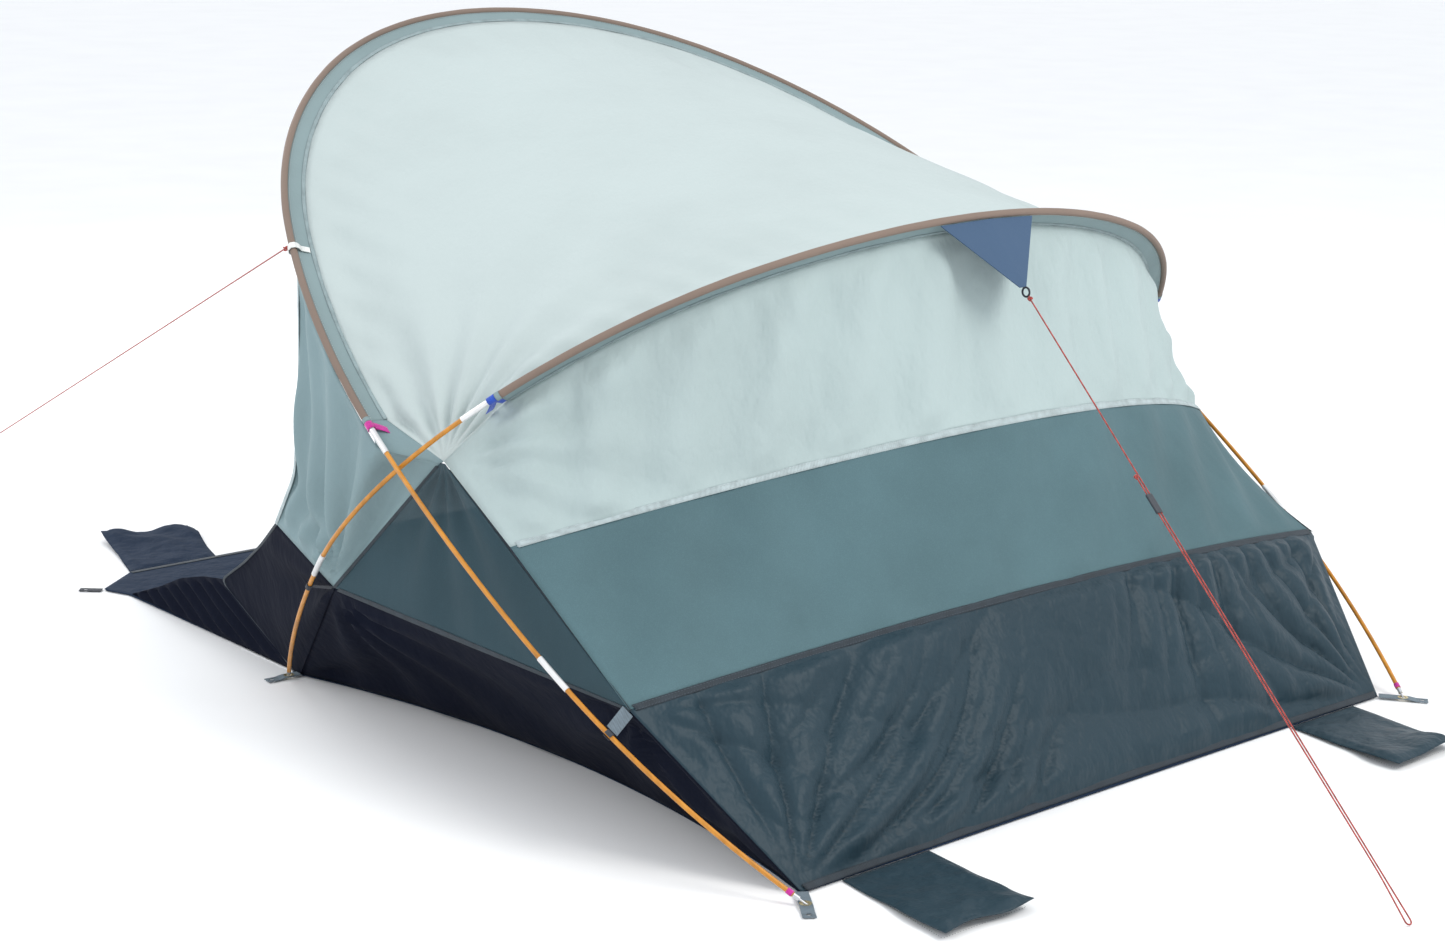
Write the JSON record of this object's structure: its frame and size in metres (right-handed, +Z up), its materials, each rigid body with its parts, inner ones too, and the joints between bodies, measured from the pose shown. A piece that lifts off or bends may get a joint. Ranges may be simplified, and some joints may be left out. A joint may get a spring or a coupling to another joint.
{
  "type": "beach shelter",
  "caption": "Pitched beach shelter with two crossed arch poles, open front with a fold-out apron, closed banded back wall with a mesh window, side windows, sand flaps and guy lines",
  "frame": {"origin": "on the ground under the middle of the outline, guy lines not counted", "axes": "+Z up, -Y out of the open front, +Y out of the closed back, +X to the right of someone who stands in front of the opening"},
  "size_m": [2.163, 4.189, 1.3548],
  "materials": {
    "fibreglass": "orange glass-fibre tube, semi-gloss",
    "ferrule_metal": "plain drawn sleeve, satin",
    "shock_cord": "braided elastic",
    "tip_metal": "turned, satin",
    "magenta_tape": "woven tape",
    "blue_tape": "woven tape",
    "white_tape": "woven tape",
    "sleeve_cloth": "coated polyester, matt",
    "roof_cloth": "coated polyester, matt",
    "wall_cloth": "coated polyester, matt",
    "mesh": "fine insect mesh",
    "slate_cloth": "coated polyester, matt",
    "navy_cloth": "coated polyester, matt",
    "floor_cloth": "coated polyester, slight sheen",
    "webbing": "flat woven webbing",
    "dark_webbing": "flat woven webbing",
    "dark_plastic": "moulded",
    "brass": "pressed eyelet",
    "gusset_cloth": "coated polyester, matt",
    "guy_cord": "braided cord"
  },
  "bodies": {
    "shelter": {"front_pole_section_1": "fibreglass", "front_pole_section_2": "fibreglass", "front_pole_section_3": "fibreglass", "front_pole_section_4": "fibreglass", "front_pole_section_5": "fibreglass", "front_pole_section_6": "fibreglass", "front_pole_section_7": "fibreglass", "front_pole_section_8": "fibreglass", "front_pole_section_9": "fibreglass", "front_pole_section_10": "fibreglass", "rear_pole_section_1": "fibreglass", "rear_pole_section_2": "fibreglass", "rear_pole_section_3": "fibreglass", "rear_pole_section_4": "fibreglass", "rear_pole_section_5": "fibreglass", "rear_pole_section_6": "fibreglass", "rear_pole_section_7": "fibreglass", "rear_pole_section_8": "fibreglass", "front_pole_ferrules": "ferrule_metal", "rear_pole_ferrules": "ferrule_metal", "shock_cords": "shock_cord", "pole_tips": "tip_metal", "foot_bands": "magenta_tape", "front_sleeve": "sleeve_cloth", "rear_sleeve": "sleeve_cloth", "roof": "roof_cloth", "back_wall_upper": "wall_cloth", "back_window": "mesh", "back_wall_lower": "slate_cloth", "side_window_right": "mesh", "side_window_left": "mesh", "side_lower_right": "navy_cloth", "side_lower_left": "navy_cloth", "wing_upper_right": "wall_cloth", "wing_upper_left": "wall_cloth", "wing_lower_right": "navy_cloth", "wing_lower_left": "navy_cloth", "floor": "floor_cloth", "corner_tabs": "webbing", "corner_eyelets": "brass", "rear_tie_straps": "webbing", "rear_tie_hooks": "dark_plastic", "front_tie_straps": "dark_webbing", "front_sleeve_tapes": "magenta_tape", "rear_sleeve_tapes": "blue_tape", "front_guy_loops": "white_tape", "rear_gusset": "gusset_cloth", "rear_guy_loop": "dark_webbing", "rear_guy_line": "guy_cord", "front_guy_line": "guy_cord"},
    "apron": {"apron": "floor_cloth", "apron_peg_loops": "webbing", "apron_side_right": "navy_cloth", "apron_side_left": "navy_cloth"},
    "front_flap_right": {"front_sand_flap_right": "slate_cloth"},
    "front_flap_left": {"front_sand_flap_left": "slate_cloth"},
    "rear_flap_right": {"rear_sand_flap_right": "slate_cloth"},
    "rear_flap_left": {"rear_sand_flap_left": "slate_cloth"},
    "runner": {"guy_runner": "dark_plastic"}
  },
  "joints": [
    {"name": "apron_hinge", "type": "hinge", "parent": "shelter", "child": "apron", "pos_m": [0, -0.329, 0.001], "axis": [-1, 0, 0], "range_deg": [0, 70], "deforming": ["apron_side_right", "apron_side_left"]},
    {"name": "front_flap_right_hinge", "type": "hinge", "parent": "apron", "child": "front_flap_right", "pos_m": [0.64, -1.223, 0.004], "axis": [-1, 0, 0], "range_deg": [0, 170]},
    {"name": "front_flap_left_hinge", "type": "hinge", "parent": "apron", "child": "front_flap_left", "pos_m": [-0.64, -1.223, 0.004], "axis": [-1, 0, 0], "range_deg": [0, 170]},
    {"name": "rear_flap_right_hinge", "type": "hinge", "parent": "shelter", "child": "rear_flap_right", "pos_m": [0.643, 1.236, 0.0025], "axis": [1, 0, 0], "range_deg": [0, 95]},
    {"name": "rear_flap_left_hinge", "type": "hinge", "parent": "shelter", "child": "rear_flap_left", "pos_m": [-0.643, 1.236, 0.0025], "axis": [1, 0, 0], "range_deg": [0, 95]},
    {"name": "runner_slide", "type": "slide", "parent": "shelter", "child": "runner", "axis": [0.0953, 0.7492, -0.6554], "range_m": [-0.02, 0.45]}
  ]
}
